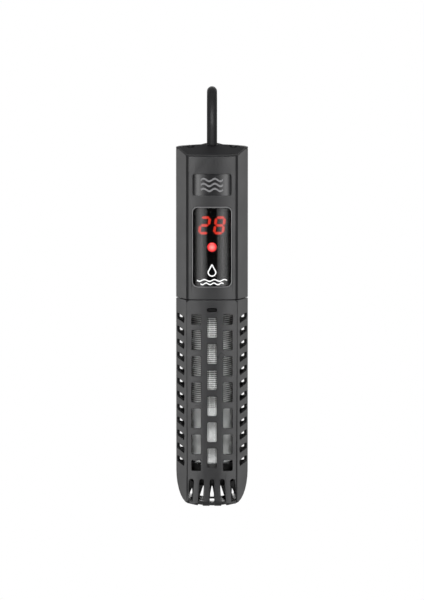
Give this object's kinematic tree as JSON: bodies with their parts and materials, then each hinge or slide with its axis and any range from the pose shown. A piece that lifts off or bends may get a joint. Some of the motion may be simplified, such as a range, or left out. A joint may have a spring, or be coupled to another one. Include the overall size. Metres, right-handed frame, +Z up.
{
  "type": "submersible aquarium heater",
  "caption": "Slim submersible aquarium heater: hexagonal control head with digital display and set button, quartz heating tube in a slotted slide-off guard, suction cups and mains lead.",
  "frame": {"origin": "centre of the upper suction cup's rim, on the tank glass", "axes": "+Z up along the heater, +Y towards the glass that the cups hold, display facing -Y"},
  "size_m": [0.042, 0.1104, 0.244],
  "materials": {
    "charcoal_plastic": "fine-textured moulded plastic, satin",
    "black_plastic": "moulded plastic, satin",
    "badge_grey": "brushed and lacquered plate",
    "frame_grey": "thin light line round the window",
    "smoked_window": "polished smoked acrylic",
    "red_button": "translucent red, lit from behind",
    "lit_red": "lit red light bars",
    "black_rubber": "moulded rubber",
    "grey_silicone": "silicone",
    "smoky_silicone": "soft glossy silicone",
    "seal_red": "silicone seal",
    "screw_steel": "plated steel",
    "probe_steel": "stainless steel sleeve",
    "nickel_pins": "nickel-plated brass",
    "heating_alloy": "oxidised resistance wire",
    "quartz": "clear fused quartz",
    "white_ceramic": "unglazed ceramic",
    "board_green": "solder mask on fibreglass",
    "relay_blue": "moulded relay case",
    "capacitor_sleeve": "shrink sleeve",
    "coil_tape": "polyester tape on a wound core",
    "terminal_green": "moulded terminal block",
    "wire_red": "silicone wire insulation",
    "fuse_body": "ceramic fuse body",
    "cord_sheath": "rubber sheath",
    "tie_fabric": "hook-and-loop strap",
    "plug_plastic": "moulded plug"
  },
  "bodies": {
    "heater": {"housing": "charcoal_plastic", "top_cap": "black_plastic", "cap_screws": "screw_steel", "strain_relief": "black_rubber", "badge_plate": "badge_grey", "lens_frame": "frame_grey", "display_lens": "smoked_window", "display_module": "black_plastic", "digit_segments": "lit_red", "button_seal": "black_rubber", "tact_switch": "screw_steel", "button_led": "lit_red", "circuit_board": "board_green", "relay": "relay_blue", "capacitor": "capacitor_sleeve", "transformer": "coil_tape", "terminal_block": "terminal_green", "tube_holder": "black_plastic", "housing_seal": "seal_red", "tube_collar": "grey_silicone", "temperature_probe": "probe_steel", "quartz_tube": "quartz", "core_former": "white_ceramic", "heating_wire": "heating_alloy", "core_discs": "white_ceramic", "lead_wires": "wire_red", "thermal_fuse": "fuse_body", "tube_boot": "black_rubber", "upper_clip": "black_plastic", "cord_lead": "cord_sheath", "cord_hank": "cord_sheath", "cord_tail": "cord_sheath", "hank_tie": "tie_fabric", "plug_body": "plug_plastic", "plug_pins": "nickel_pins"},
    "guard": {"guard": "charcoal_plastic", "lower_clip": "black_plastic"},
    "set_button": {"set_button": "red_button"},
    "upper_cup": {"upper_cup": "smoky_silicone"},
    "lower_cup": {"lower_cup": "smoky_silicone"}
  },
  "joints": [
    {"name": "button_press", "type": "slide", "parent": "heater", "child": "set_button", "axis": [0, 1, 0], "range_m": [0, 0.0008], "stiffness_N_per_m": 900, "springref_m": -0.0003},
    {"name": "guard_slide", "type": "slide", "parent": "heater", "child": "guard", "axis": [0, 0, -1], "range_m": [0, 0.125]},
    {"name": "upper_cup_turn", "type": "hinge", "parent": "heater", "child": "upper_cup", "pos_m": [0, 0, 0], "axis": [0, 1, 0], "continuous": true},
    {"name": "lower_cup_turn", "type": "hinge", "parent": "guard", "child": "lower_cup", "pos_m": [0, 0, -0.1145], "axis": [0, 1, 0], "continuous": true}
  ]
}
